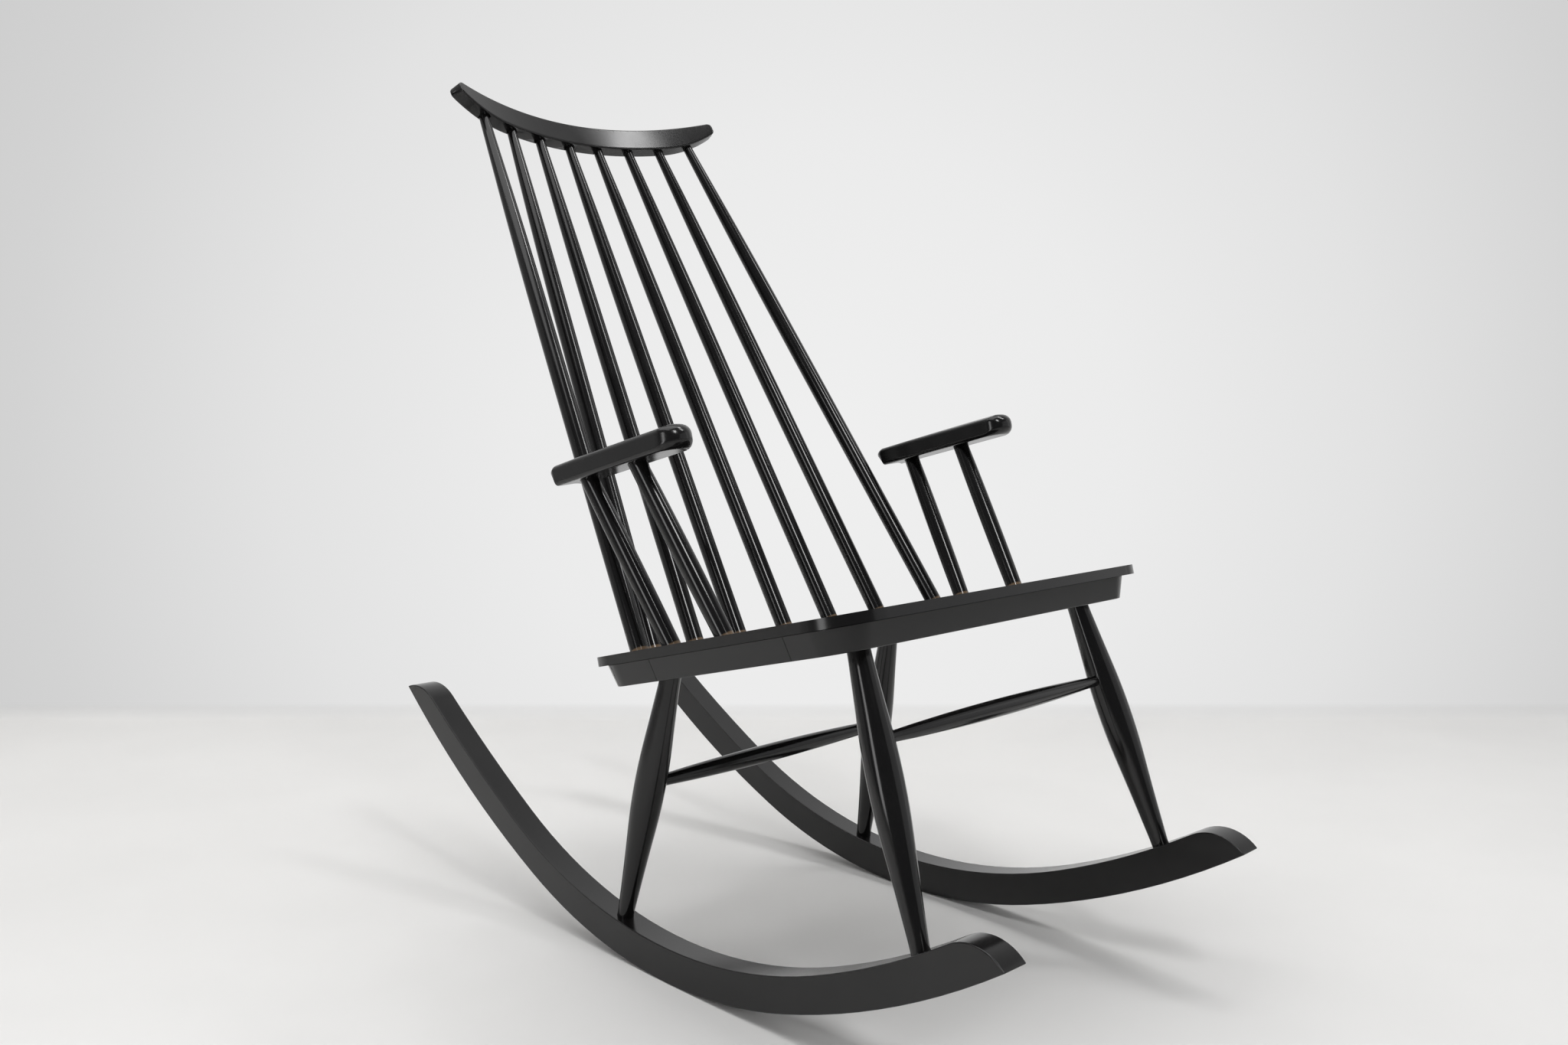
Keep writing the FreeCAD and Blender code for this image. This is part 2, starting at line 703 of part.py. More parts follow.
def arm_sketches(body_plan, body_side, body_section):
    """Plan, side view and cross-section of an arm, each drawn about the middle of its underside."""
    half_length = size_of("arm_half_length")
    half_width = size_of("arm_half_width")
    thick = size("arm_thickness")
    plan = Loop(new_sketch(body_plan, body_plan.Label + "_plan", "XY_Plane"))
    straight = half_length - half_width
    right = plan.line((half_width, -straight), (half_width, straight))
    rear = plan.arc((0, straight), (half_width, straight), (-half_width, straight), 1)
    plan.line((-half_width, straight), (-half_width, -straight))
    front = plan.arc((0, -straight), (-half_width, -straight), (half_width, -straight), 1)
    plan.close((0, 1, 2, 3))
    plan.radius(rear, "arm_half_width")
    plan.sketch.addConstraint(Sketcher.Constraint("Vertical", right[0]))
    for part in (rear, front):
        plan.sketch.addConstraint(Sketcher.Constraint("PointOnObject", part[0], 3, -2))
        plan.place(part, 3, along="Sizes.arm_half_length - Sizes.arm_half_width")
    side = Loop(new_sketch(body_side, body_side.Label + "_side", "YZ_Plane"))
    cap = size("arm_cap_round")
    heel = size("arm_heel_round")
    slope = size("arm_heel_run")
    low_rear = half_length - slope
    side.line((-half_length + cap, 0), (low_rear - heel, 0))
    side.arc((low_rear - heel, heel), (low_rear - heel, 0), (low_rear, heel), 1)
    side.line((low_rear, heel), (half_length, thick))
    side.line((half_length, thick), (-half_length + cap, thick))
    side.arc((-half_length + cap, thick - cap), (-half_length + cap, thick),
             (-half_length, thick - cap), 1)
    side.line((-half_length, thick - cap), (-half_length, cap))
    side.arc((-half_length + cap, cap), (-half_length, cap), (-half_length + cap, 0), 1)
    side.close()
    section = Loop(new_sketch(body_section, body_section.Label + "_section", "XZ_Plane"))
    top = size("arm_top_round")
    low = size("arm_bottom_round")
    shoulder = thick - size("arm_crown")
    inner = half_width - top
    crown = size("arm_crown")
    dome = (inner * inner + crown * crown) / (2.0 * crown)
    section.line((-half_width + low, 0), (half_width - low, 0))
    section.arc((half_width - low, low), (half_width - low, 0), (half_width, low), 1)
    section.line((half_width, low), (half_width, shoulder - top))
    section.arc((inner, shoulder - top), (half_width, shoulder - top), (inner, shoulder), 1)
    section.arc((0, thick - dome), (inner, shoulder), (-inner, shoulder), 1)
    section.arc((-inner, shoulder - top), (-inner, shoulder), (-half_width, shoulder - top), 1)
    section.line((-half_width, shoulder - top), (-half_width, low))
    section.arc((-half_width + low, low), (-half_width, low), (-half_width + low, 0), 1)
    section.close()
    for loop in (side, section):
        for part in loop.parts:
            loop.sketch.addConstraint(Sketcher.Constraint("Block", part[0]))
    return plan.sketch, side.sketch, section.sketch


def make_arm(label, hand, bores):
    """An arm is what its plan, its side view and its domed section have in common."""
    bodies = [new_body("%s_%s" % (label, view)) for view in ("plan", "side", "section")]
    plan, side, section = arm_sketches(*bodies)
    pad(bodies[0], plan, "Sizes.arm_thickness")
    pad(bodies[1], side, "Sizes.arm_width + Sizes.cut_overrun", midplane=True)
    pad(bodies[2], section, "2 * Sizes.arm_half_length + Sizes.cut_overrun", midplane=True)
    front_end = POST_FRONT - size("post_head_setback") + size("arm_front_overhang")
    middle = front_end - size_of("arm_half_length")
    place = SEAT.multiply(
        Placement(Vector(hand * ARM_SPREAD, -middle, size("arm_height")), Rotation()))
    for body in bodies:
        body.Placement = place
    return cut(label, common(label + "_whole", *bodies), bores)


# Rockers


class ArcChain:
    """Three tangent arcs: one round the low point and one on to each end."""

    def __init__(self, edge, base):
        self.radii = [size("rocker_%s_%sradius" % (edge, part)) for part in ("front_", "", "rear_")]
        self.angles = [math.radians(size("rocker_%s_%s_angle" % (edge, end)))
                       for end in ("front", "rear")]
        middle = (-size("rocker_low_reach"), base + self.radii[1])
        front = self.slide(middle, self.radii[0] - self.radii[1], -self.angles[0])
        rear = self.slide(middle, self.radii[2] - self.radii[1], self.angles[1])
        self.centres = [front, middle, rear]

    @staticmethod
    def slide(centre, distance, angle):
        return (centre[0] - distance * math.sin(angle), centre[1] + distance * math.cos(angle))

    def join(self, end):
        """Where the middle arc meets the front (0) or rear (1) one."""
        angle = -self.angles[0] if end == 0 else self.angles[1]
        return (self.centres[1][0] + self.radii[1] * math.sin(angle),
                self.centres[1][1] - self.radii[1] * math.cos(angle))

    def height(self, reach):
        """Height of the edge at a place along the rocker."""
        if reach < self.join(0)[0]:
            part = 0
        elif reach > self.join(1)[0]:
            part = 2
        else:
            part = 1
        offset = reach - self.centres[part][0]
        return self.centres[part][1] - math.sqrt(self.radii[part] ** 2 - offset * offset)


def rocker_sketch(body, label):
    """Side view: the sole's three arcs, the tail's round, the top's three and the nose's."""
    sole = ArcChain("sole", 0.0)
    top = ArcChain("top", size("rocker_depth"))
    half = size("rocker_half_length")
    nose = (-half, sole.height(-half))
    tail = (half, sole.height(half))
    nose_top = (-half + size("rocker_nose_length"), top.height(-half + size("rocker_nose_length")))
    tail_top = (half - size("rocker_tail_length"), top.height(half - size("rocker_tail_length")))
    loop = Loop(new_sketch(body, label + "_side", "YZ_Plane"))
    arcs = [
        loop.arc(sole.centres[0], nose, sole.join(0), 1),
        loop.arc(sole.centres[1], sole.join(0), sole.join(1), 1),
        loop.arc(sole.centres[2], sole.join(1), tail, 1),
        loop.arc(circle_through(tail, tail_top, size("rocker_tail_radius"), 1), tail, tail_top, 1),
        loop.arc(top.centres[2], tail_top, top.join(1), -1),
        loop.arc(top.centres[1], top.join(1), top.join(0), -1),
        loop.arc(top.centres[0], top.join(0), nose_top, -1),
        loop.arc(circle_through(nose_top, nose, size("rocker_nose_radius"), 1), nose_top, nose, 1),
    ]
    loop.close((0, 1, 4, 5))
    names = ("sole_front", "sole", "sole_rear", "tail", "top_rear", "top", "top_front", "nose")
    for part, name in zip(arcs, names):
        loop.radius(part, "rocker_%s_radius" % name)
    for index, base in ((1, ""), (5, " + Sizes.rocker_depth")):
        loop.place(arcs[index], 3, across="Sizes.rocker_low_reach",
                   along="Sizes.rocker_%s_radius%s" % (names[index], base))
    for index, end, formula in (
            (0, 1, "Sizes.rocker_half_length"),
            (2, 2, "Sizes.rocker_half_length"),
            (4, 2, "Sizes.rocker_half_length - Sizes.rocker_tail_length"),
            (6, 1, "Sizes.rocker_half_length - Sizes.rocker_nose_length")):
        loop.place(arcs[index], end, across=formula)
    for index, end, chain, joint in (
            (1, 1, sole, 0), (1, 2, sole, 1), (5, 1, top, 0), (5, 2, top, 1)):
        alias = "%s_join_%d_%d" % (label, index, end)
        derive(alias, abs(chain.join(joint)[0]))
        loop.place(arcs[index], end, across="Sizes." + alias)
    return loop.sketch


def make_rocker(label, hand, bores):
    blank = new_body(label + "_blank")
    pad(blank, rocker_sketch(blank, label), "Sizes.rocker_thickness", midplane=True)
    blank.Placement = Placement(
        Vector(hand * (HALF_SEAT - size("rocker_inset")), 0, 0),
        Rotation(Vector(0, 0, 1), hand * size("rocker_toe")))
    return cut(label, blank, bores)


def rocker_point(hand, reach):
    """The middle of the rocker's top face at a place along the floor."""
    spread = HALF_SEAT - size("rocker_inset") - math.tan(math.radians(size("rocker_toe"))) * reach
    return Vector(hand * spread, reach, ArcChain("top", size("rocker_depth")).height(reach))


# Assembly: every turned piece runs from one socket's floor to the other's


def add_turned(label, foot, head, foot_alias, head_alias, draw, sectors):
    """A turned piece between two mouths, sunk into both by the named depths."""
    start = toward(foot, head, -size_of(foot_alias))
    end = toward(head, foot, -size_of(head_alias))
    derive(label + "_length", (end - start).Length)
    body = new_body(label)
    sketch = new_sketch(body, label + "_profile", "YZ_Plane")
    draw(Loop(sketch), label + "_length", size_of(foot_alias) + size("tenon_margin"),
         size_of(head_alias) + size("tenon_margin"))
    revolve(body, sketch, sectors)
    body.Placement = along(start, end)
    return body


SIDES = (("left", 1.0), ("right", -1.0))
NODES = []
panel_bores = []
rail_bores = {"seat_rail_front": [], "seat_rail_rear": []}
crest_bores = []
arm_bores = {"left": [], "right": []}
rocker_bores = {"left": [], "right": []}
derive("arm_half_length",
       (size("arm_front_overhang") + size("post_spacing") + size("arm_rear_overhang")) / 2.0)
derive("arm_half_width", size("arm_width") / 2.0)
derive("seat_socket_depth", SEAT_SOCKET_SHARE * size("seat_thickness"))

# Back spindles, numbered from the sitter's right to the left
pairs = len(SPINDLE_FOOT_SPREAD_SHARES)
seat_length = size("seat_front_reach") + size("seat_rear_reach")
for number in range(1, 2 * pairs + 1):
    hand = -1.0 if number <= pairs else 1.0
    rank = pairs - number if number <= pairs else number - pairs - 1
    foot = on_seat(
        hand * SPINDLE_FOOT_SPREAD_SHARES[rank] * HALF_SEAT,
        SPINDLE_FOOT_INSET_SHARES[rank] * seat_length - size("seat_rear_reach"))
    head_share = SPINDLE_HEAD_SPREAD_SHARES[rank]
    head_across = head_share * size("crest_half_length")
    head = CREST.multVec(Vector(
        hand * head_across, crest_back(head_across, SPINDLE_HEAD_THICKNESS_SHARE),
        crest_edge(head_across)))
    label = "back_spindle_%d" % number
    NODES.append(add_turned(label, foot, head, "seat_socket_depth", "spindle_crest_depth",
                            spindle_profile, SPINDLE_SECTORS))
    panel_bores.append(
        socket(label + "_seat_bore", foot, head, "spindle_foot_diameter", "seat_socket_depth"))
    crest_bores.append(socket(label + "_crest_bore", head, foot, "spindle_top_diameter",
                              "spindle_crest_depth"))

# Arm posts
for side, hand in SIDES:
    for end, forward in (("front", POST_FRONT), ("rear", POST_REAR)):
        foot = on_seat(hand * (HALF_SEAT - size("post_foot_inset")), forward)
        head = on_seat(hand * ARM_SPREAD, forward - size("post_head_setback"), size("arm_height"))
        label = "arm_post_%s_%s" % (end, side)
        NODES.append(add_turned(label, foot, head, "seat_socket_depth", "post_arm_depth",
                                barrel_profile("post"), POST_SECTORS))
        panel_bores.append(
            socket(label + "_seat_bore", foot, head, "post_foot_diameter", "seat_socket_depth"))
        arm_bores[side].append(
            socket(label + "_arm_bore", head, foot, "post_top_diameter", "post_arm_depth"))

# Legs, and the two stretchers that tie them
frame_bottom = -(size("seat_thickness") + size("frame_depth"))
derive("stretcher_leg_depth", size("leg_swell_diameter") / 2.0 - size("stretcher_stop"))
leg_reach = {"front": size("seat_front_reach") - size("front_leg_top_setback"),
             "rear": size("rear_leg_top_setback") - size("seat_rear_reach")}
leg_rows = (("front", -1.0, FRONT_STRETCHER_SHARE), ("rear", 1.0, REAR_STRETCHER_SHARE))
for end, sign, share in leg_rows:
    legs = {}
    meets = {}
    for side, hand in SIDES:
        head = on_seat(hand * (HALF_SEAT - size(end + "_leg_top_inset")), leg_reach[end],
                       frame_bottom)
        foot = rocker_point(hand, head.y + sign * size(end + "_leg_stride"))
        label = "leg_%s_%s" % (end, side)
        legs[side] = add_turned(label + "_blank", foot, head, "leg_rocker_depth",
                                "leg_seat_depth", leg_profile, LEG_SECTORS)
        rail_bores["seat_rail_" + end].append(
            socket(label + "_seat_bore", head, foot, "leg_top_diameter", "leg_seat_depth"))
        rocker_bores[side].append(
            socket(label + "_rocker_bore", foot, head, "leg_foot_diameter", "leg_rocker_depth"))
        meets[side] = toward(head, foot, share * (foot - head).Length)
    mouths = {side: toward(meets[side], meets[other], size("leg_swell_diameter") / 2.0)
              for side, other in (("left", "right"), ("right", "left"))}
    prefix = end + "_stretcher"
    NODES.append(add_turned(prefix, mouths["right"], mouths["left"], "stretcher_leg_depth",
                            "stretcher_leg_depth", barrel_profile(prefix), STRETCHER_SECTORS))
    for side, other in (("left", "right"), ("right", "left")):
        label = "leg_%s_%s" % (end, side)
        bore = socket(label + "_stretcher_bore", mouths[side], mouths[other],
                      prefix + "_foot_diameter", "stretcher_leg_depth")
        NODES.append(cut(label, legs[side], [bore]))

# Boards, arms and rockers
NODES.append(make_seat(panel_bores))
NODES.extend(make_frame(rail_bores))
NODES.append(make_crest(crest_bores))
for side, hand in SIDES:
    NODES.append(make_arm("arm_" + side, hand, arm_bores[side]))
    NODES.append(make_rocker("rocker_" + side, hand, rocker_bores[side]))

DOC.recompute()

# Checks, then one file for each piece
for item in DOC.Objects:
    if "Invalid" in item.State or "Error" in item.State:
        raise RuntimeError("%s did not build: %s" % (item.Label, item.State))
for node in NODES:
    if node.Shape.isNull() or not node.Shape.isValid() or len(node.Shape.Solids) != 1:
        raise RuntimeError("%s is not one sound solid" % node.Label)
os.makedirs("parts", exist_ok=True)
for node in NODES:
    node.Shape.exportStep("parts/%s.step" % node.Label)
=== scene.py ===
import math

import bmesh
import bpy
import numpy as np
from mathutils import Matrix, Vector
from mathutils.bvhtree import BVHTree


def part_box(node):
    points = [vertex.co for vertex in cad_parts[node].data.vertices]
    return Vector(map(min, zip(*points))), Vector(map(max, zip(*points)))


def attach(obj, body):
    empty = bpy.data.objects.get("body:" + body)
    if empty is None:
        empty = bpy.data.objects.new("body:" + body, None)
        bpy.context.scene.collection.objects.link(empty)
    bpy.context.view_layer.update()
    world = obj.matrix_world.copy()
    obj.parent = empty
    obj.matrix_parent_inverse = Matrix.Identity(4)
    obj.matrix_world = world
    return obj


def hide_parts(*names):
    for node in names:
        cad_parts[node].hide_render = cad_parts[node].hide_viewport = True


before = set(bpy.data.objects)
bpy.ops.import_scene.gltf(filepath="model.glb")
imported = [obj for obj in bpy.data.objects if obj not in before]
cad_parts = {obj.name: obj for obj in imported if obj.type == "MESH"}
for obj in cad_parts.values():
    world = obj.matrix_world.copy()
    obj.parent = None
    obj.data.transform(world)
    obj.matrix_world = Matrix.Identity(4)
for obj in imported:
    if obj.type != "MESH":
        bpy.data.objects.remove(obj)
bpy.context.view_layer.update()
MM = 0.001
QUARTER = 0.5 * math.pi
ACROSS = Vector((1.0, 0.0, 0.0))

# Camera: the photograph's place and angle
CAMERA_PLACE = (-1.198, -1.2264, 0.6843)
CAMERA_PITCH = -5.894
CAMERA_YAW = 44.557
CAMERA_SENSOR = 36.0
CAMERA_LENS = 31.85

# Turned pieces: the spacing of their rings, the vertices round them, and the bands along a node
# in which its radius is read
RING_STEP = 4.0 * MM
FEWEST_RINGS = 8
AROUND = 48
PROFILE_BANDS = 40
PROFILE_SLACK = 0.001 * MM
# A turned node's flat ends: how near to them their faces and rims are, how squarely the faces look
# out, which points of a rim are its outer ones, and how often the axis is found afresh from them
END_NEAR = 1.0 * MM
RIM_NEAR = 0.02 * MM
END_SQUARENESS = 0.98
OUTER_RIM_SHARE = 0.5
AXIS_ROUNDS = 2
# Edges within this distance of a turned piece belong to its socket
SOCKET_REACH = 1.2 * MM

# Boards: how sharp an edge is eased, in how many steps, and how close and how flat what merges is
BEVEL_ANGLE = math.radians(40.0)
BEVEL_STEPS = 4
BOARD_WELD = 0.01 * MM
FLAT_ANGLE = 0.01
NORMAL_WEIGHT = 50

# Lacquer: its two blacks, its refraction, and how much rougher its duller places are
LACQUER_DARK = (0.0038, 0.0036, 0.0037)
LACQUER_LIGHT = (0.0062, 0.0058, 0.0058)
LACQUER_IOR = 1.45
DULLER = 0.05
# Patterns in the lacquer, as scale and detail, and the pores' spread across and along the grain
CLOUDS = (22.0, 4.0)
PEEL = (420.0, 2.0)
PORES = (1.0, 3.0)
PORES_ACROSS = 620.0
PORES_ALONG = 14.0
# Between which values of the clouds the black and the gloss change
CLOUD_TINT_SPAN = (0.3, 0.7)
CLOUD_GLOSS_SPAN = (0.25, 0.75)
# Marks on the lacquer: cells per metre, radius and tint of dust and chips, the share of the cells
# with a chip, and how much of a speck's radius is solid
SPECK_CORE = 0.5
DUST_CELLS = 95.0
DUST_RADIUS = 0.30 * MM
DUST_COLOUR = (0.10, 0.10, 0.095, 1.0)
CHIP_CELLS = 24.0
CHIP_RADIUS = 0.65 * MM
CHIP_SHARE = 0.3
CHIP_COLOUR = (0.34, 0.31, 0.25, 1.0)
# Wood rubbed bare where spindles and posts stand in the seat: all of it, then none, from the end
FOOT_WOOD = (0.15, 0.10, 0.06, 1.0)
FOOT_WEAR = (5.6 * MM, 7.2 * MM)

# Stage
WALL_DISTANCE = 2.767
WALL_HEIGHT = 5.0
WALL_HALF = 7.0
STAGE_HALF = 9.0
COVE_RADIUS = 0.03
COVE_STEPS = 8
# The wall turns back toward the camera on its left, outside the picture
RETURN_ASIDE = 2.6
RETURN_RUN = 2.5
RETURN_RADIUS = 0.7
RETURN_STEPS = 16
FLOOR_COLOUR = (0.78, 0.775, 0.765)
FLOOR_DULL_SHARE = 0.975
FLOOR_MARKS = (3.5, 6.0)
FLOOR_MARK_SPAN = (0.3, 0.6)
ROOM_COLOUR = (0.15, 0.152, 0.158, 1.0)
BACKDROP_COLOUR = (0.62, 0.62, 0.625, 1.0)
# How the wall's painted light falls off from its brightest place, by distance in metres
WALL_PAINTED_LIGHT_CENTRE = (0.084, 0.0, 0.551)
WALL_REACH = 3.0
WALL_PAINTED_LIGHT_LEVELS = ((0.0, 0.866), (0.6, 0.834), (1.1, 0.763), (1.6, 0.65), (3.0, 0.45))

# Lamps: name, place, aimed at, width, height, watts
LAMPS = (
    ("left_strip", (-2.00, -0.42, 0.95), (0.0, 0.0, 0.95), 0.42, 1.30, 7.5),
    ("camera_strip", (-0.55, -1.76, 2.33), (0.0, 0.2, 0.65), 0.40, 0.74, 17.0),
    ("front_strip", (1.12, -1.11, 2.65), (0.0, 0.2, 0.70), 0.32, 0.90, 11.5),
    ("overhead_key", (1.10, -0.42, 3.05), (0.0, 0.1, 0.3), 0.34, 0.34, 5.0),
    ("right_panel", (2.10, -2.30, 1.25), (0.0, 0.1, 0.9), 4.20, 2.20, 13.5),
    ("ceiling_panel", (0.00, 1.00, 3.40), (0.1, 0.6, 0.0), 4.60, 3.60, 116.0),
)

SIDES = ("left", "right")
ENDS = ("front", "rear")
STOOD_IN_SEAT = (
    [f"back_spindle_{n}" for n in range(1, 9)]
    + [f"arm_post_{end}_{side}" for end in ENDS for side in SIDES]
)
TURNED = (
    STOOD_IN_SEAT
    + [f"leg_{end}_{side}" for end in ENDS for side in SIDES]
    + ["front_stretcher", "rear_stretcher"]
)
# Flat pieces and how round their edges are
BOARDS = {
    "rocker_left": 1.3 * MM,
    "rocker_right": 1.3 * MM,
    "seat_panel": 1.6 * MM,
    "seat_rail_front": 1.0 * MM,
    "seat_rail_rear": 1.0 * MM,
    "seat_rail_left": 1.0 * MM,
    "seat_rail_right": 1.0 * MM,
}
GRAIN_ACROSS = ("seat_rail_front", "seat_rail_rear", "seat_panel")

# Seat panel: which faces are its top by their facing, how round its two front corners are, and how
# far the form that rounds them stands off its front and sides, its rear and its faces
TOP_FACING = 0.9
PANEL_FRONT_CORNER = 62.0 * MM
PANEL_CORNER_STEPS = 30
PANEL_SLACK = 0.02 * MM
PANEL_REAR_SLACK = 5.0 * MM
PANEL_FACE_SLACK = 2.0 * MM

# Crest rail: how round its edges and its ends' corners are, and how much the corners rise below
CREST_EDGE_ROUND = 2.4 * MM
CREST_LEAST_ROUND = 0.15 * MM
CREST_CORNER_ROUND = 8.0 * MM
CREST_LIFT_SHARE = 0.35
CREST_CLEARANCE = 0.12 * MM
# Sections along its middle and its ends, and steps round each corner of a section
CREST_SECTIONS = 121
CREST_END_SECTIONS = 14
CREST_CORNER_STEPS = 5
# Where its height is read: this far inside its ends, and this share of its thickness inside it
CREST_END_INSIDE = 0.6 * MM
CREST_FACE_INSIDE = 0.03
# Which faces of a bent plank are its long ones: by area, by facing, and square to its axis
LONG_FACE_SHARE = 0.2
LONG_FACE_FACING = 0.6
LONG_FACE_SLANT = 0.02

# Arms: how round the side edges and the two ends are, above and below, how domed the top is,
# and how the rear end draws in below and thins from above
ARM_TOP_ROUND = 7.0 * MM
ARM_LOW_ROUND = 5.0 * MM
ARM_CAP_ROUND = 12.6 * MM
ARM_CROWN = 1.5 * MM
ARM_HEEL_RUN = 20.0 * MM
ARM_HEEL_EXTRA = 0.8 * MM
ARM_TAIL_RUN = 52.0 * MM
ARM_TAIL_THIN = 0.34
ARM_CLEARANCE = 0.12 * MM
ARM_WELD = 0.005 * MM
# Steps round each end of an arm, and over its lower edge, its upper edge and its top
ARM_END_STEPS = 20
ARM_STEPS = 6


# Material helpers

def new_material(name):
    """An empty node material, its tree and its output."""
    material = bpy.data.materials.new(name)
    material.use_nodes = True
    tree = material.node_tree
    tree.nodes.clear()
    return material, tree, tree.nodes.new("ShaderNodeOutputMaterial")


def add_node(tree, kind, inputs=None, **properties):
    """A node with its properties set, and its inputs set or linked."""
    made = tree.nodes.new(kind)
    for key, value in properties.items():
        setattr(made, key, value)
    for key, value in (inputs or {}).items():
        if isinstance(value, bpy.types.NodeSocket):
            tree.links.new(value, made.inputs[key])
        else:
            made.inputs[key].default_value = value
    return made


def calculate(tree, operation, first, second):
    """The result of a sum on two values."""
    made = add_node(tree, "ShaderNodeMath", {0: first, 1: second}, operation=operation)
    return made.outputs["Value"]


def span_share(tree, value, start, end):
    """How far a value has come from start to end, from 0 to 1."""
    inputs = {"Value": value, "From Min": start, "From Max": end}
    return add_node(tree, "ShaderNodeMapRange", inputs).outputs["Result"]


def object_place(tree):
    """The place on the object, in its own axes."""
    return add_node(tree, "ShaderNodeTexCoord").outputs["Object"]


def height_of(tree, place):
    """The place's local Z."""
    return add_node(tree, "ShaderNodeSeparateXYZ", {"Vector": place}).outputs["Z"]


def noise(tree, place, pattern):
    """The value of a noise pattern, given as scale and detail."""
    inputs = {"Vector": place, "Scale": pattern[0], "Detail": pattern[1]}
    return add_node(tree, "ShaderNodeTexNoise", inputs).outputs["Fac"]


def mix_shaders(tree, share, first, second):
    """The second shader over the first, by a share."""
    return add_node(tree, "ShaderNodeMixShader", {0: share, 1: first, 2: second}).outputs["Shader"]


def ramp(tree, source, stops):
    """A colour ramp fed by source, with stops of (position, colour)."""
    made = add_node(tree, "ShaderNodeValToRGB", {"Fac": source})
    elements = made.color_ramp.elements
    while len(elements) < len(stops):
        elements.new(0.5)
    for element, (position, colour) in zip(elements, stops):
        element.position = position
        element.color = (*colour, 1.0)
    return made.outputs["Color"]


def blend(tree, source, span, first, second):
    """A colour that turns from the first to the second while source crosses a span."""
    return ramp(tree, source, ((span[0], first), (span[1], second)))


def grey(value):
    """A grey as a colour triple."""
    return (value, value, value)


def tinted(tree, colour, tint, mask):
    """A colour turned into a tint by a mask."""
    inputs = {"Factor": mask, 6: colour, 7: tint}
    return add_node(tree, "ShaderNodeMix", inputs, data_type="RGBA").outputs[2]


def speckle(tree, place, colour, cells_per_metre, radius, share, tint):
    """Round specks of a tint over a colour, in a share of the cells of a scattered pattern."""
    cells = add_node(tree, "ShaderNodeTexVoronoi", {"Vector": place, "Scale": cells_per_metre})
    edge = radius * cells_per_metre
    spot = span_share(tree, cells.outputs["Distance"], edge, SPECK_CORE * edge)
    chosen = calculate(tree, "LESS_THAN", cells.outputs["Color"], share)
    return tinted(tree, colour, tint, calculate(tree, "MULTIPLY", spot, chosen))


def worn_foot(tree, place, colour):
    """Lacquer rubbed through to the wood where a piece stands in the seat, local Z from its end."""
    rubbed = span_share(tree, height_of(tree, place), FOOT_WEAR[1], FOOT_WEAR[0])
    return tinted(tree, colour, FOOT_WOOD, rubbed)


def relief(tree, height, depth, under=None):
    """The normal of a relief, laid over another one if there is one."""
    inputs = {"Strength": 1.0, "Distance": depth, "Height": height}
    if under is not None:
        inputs["Normal"] = under
    return add_node(tree, "ShaderNodeBump", inputs).outputs["Normal"]


def lacquer(name, grain, pore_depth, peel_depth, gloss, dust, foot=False):
    """Black lacquer over wood whose grain runs along the object axis given by its index."""
    material, tree, output = new_material(name)
    place = object_place(tree)
    scale = [PORES_ACROSS] * 3
    scale[grain] = PORES_ALONG
    stretched = add_node(tree, "ShaderNodeMapping", {"Vector": place, "Scale": scale})
    pores = noise(tree, stretched.outputs["Vector"], PORES)
    clouds = noise(tree, place, CLOUDS)
    peel = noise(tree, place, PEEL)
    colour = blend(tree, clouds, CLOUD_TINT_SPAN, LACQUER_DARK, LACQUER_LIGHT)
    colour = speckle(tree, place, colour, DUST_CELLS, DUST_RADIUS, dust, DUST_COLOUR)
    colour = speckle(tree, place, colour, CHIP_CELLS, CHIP_RADIUS, CHIP_SHARE, CHIP_COLOUR)
    if foot:
        colour = worn_foot(tree, place, colour)
    rough = blend(tree, clouds, CLOUD_GLOSS_SPAN, grey(gloss), grey(gloss + DULLER))
    normal = relief(tree, peel, peel_depth, relief(tree, pores, pore_depth))
    shader = add_node(tree, "ShaderNodeBsdfPrincipled", {
        "IOR": LACQUER_IOR, "Base Color": colour, "Roughness": rough, "Normal": normal})
    tree.links.new(shader.outputs["BSDF"], output.inputs["Surface"])
    return material


def wall_painted_light(tree, place):
    """The wall's painted light: a glow brightest behind the chair and falling off round it."""
    shifted = add_node(tree, "ShaderNodeMapping", {
        "Vector": place,
        "Scale": (1.0 / WALL_REACH,) * 3,
        "Location": tuple(-part / WALL_REACH for part in WALL_PAINTED_LIGHT_CENTRE)})
    falloff = add_node(tree, "ShaderNodeTexGradient", {"Vector": shifted.outputs["Vector"]},
                       gradient_type="SPHERICAL")
    stops = [(1.0 - far / WALL_REACH, grey(level)) for far, level in reversed(WALL_PAINTED_LIGHT_LEVELS)]
    return ramp(tree, falloff.outputs["Fac"], stops)


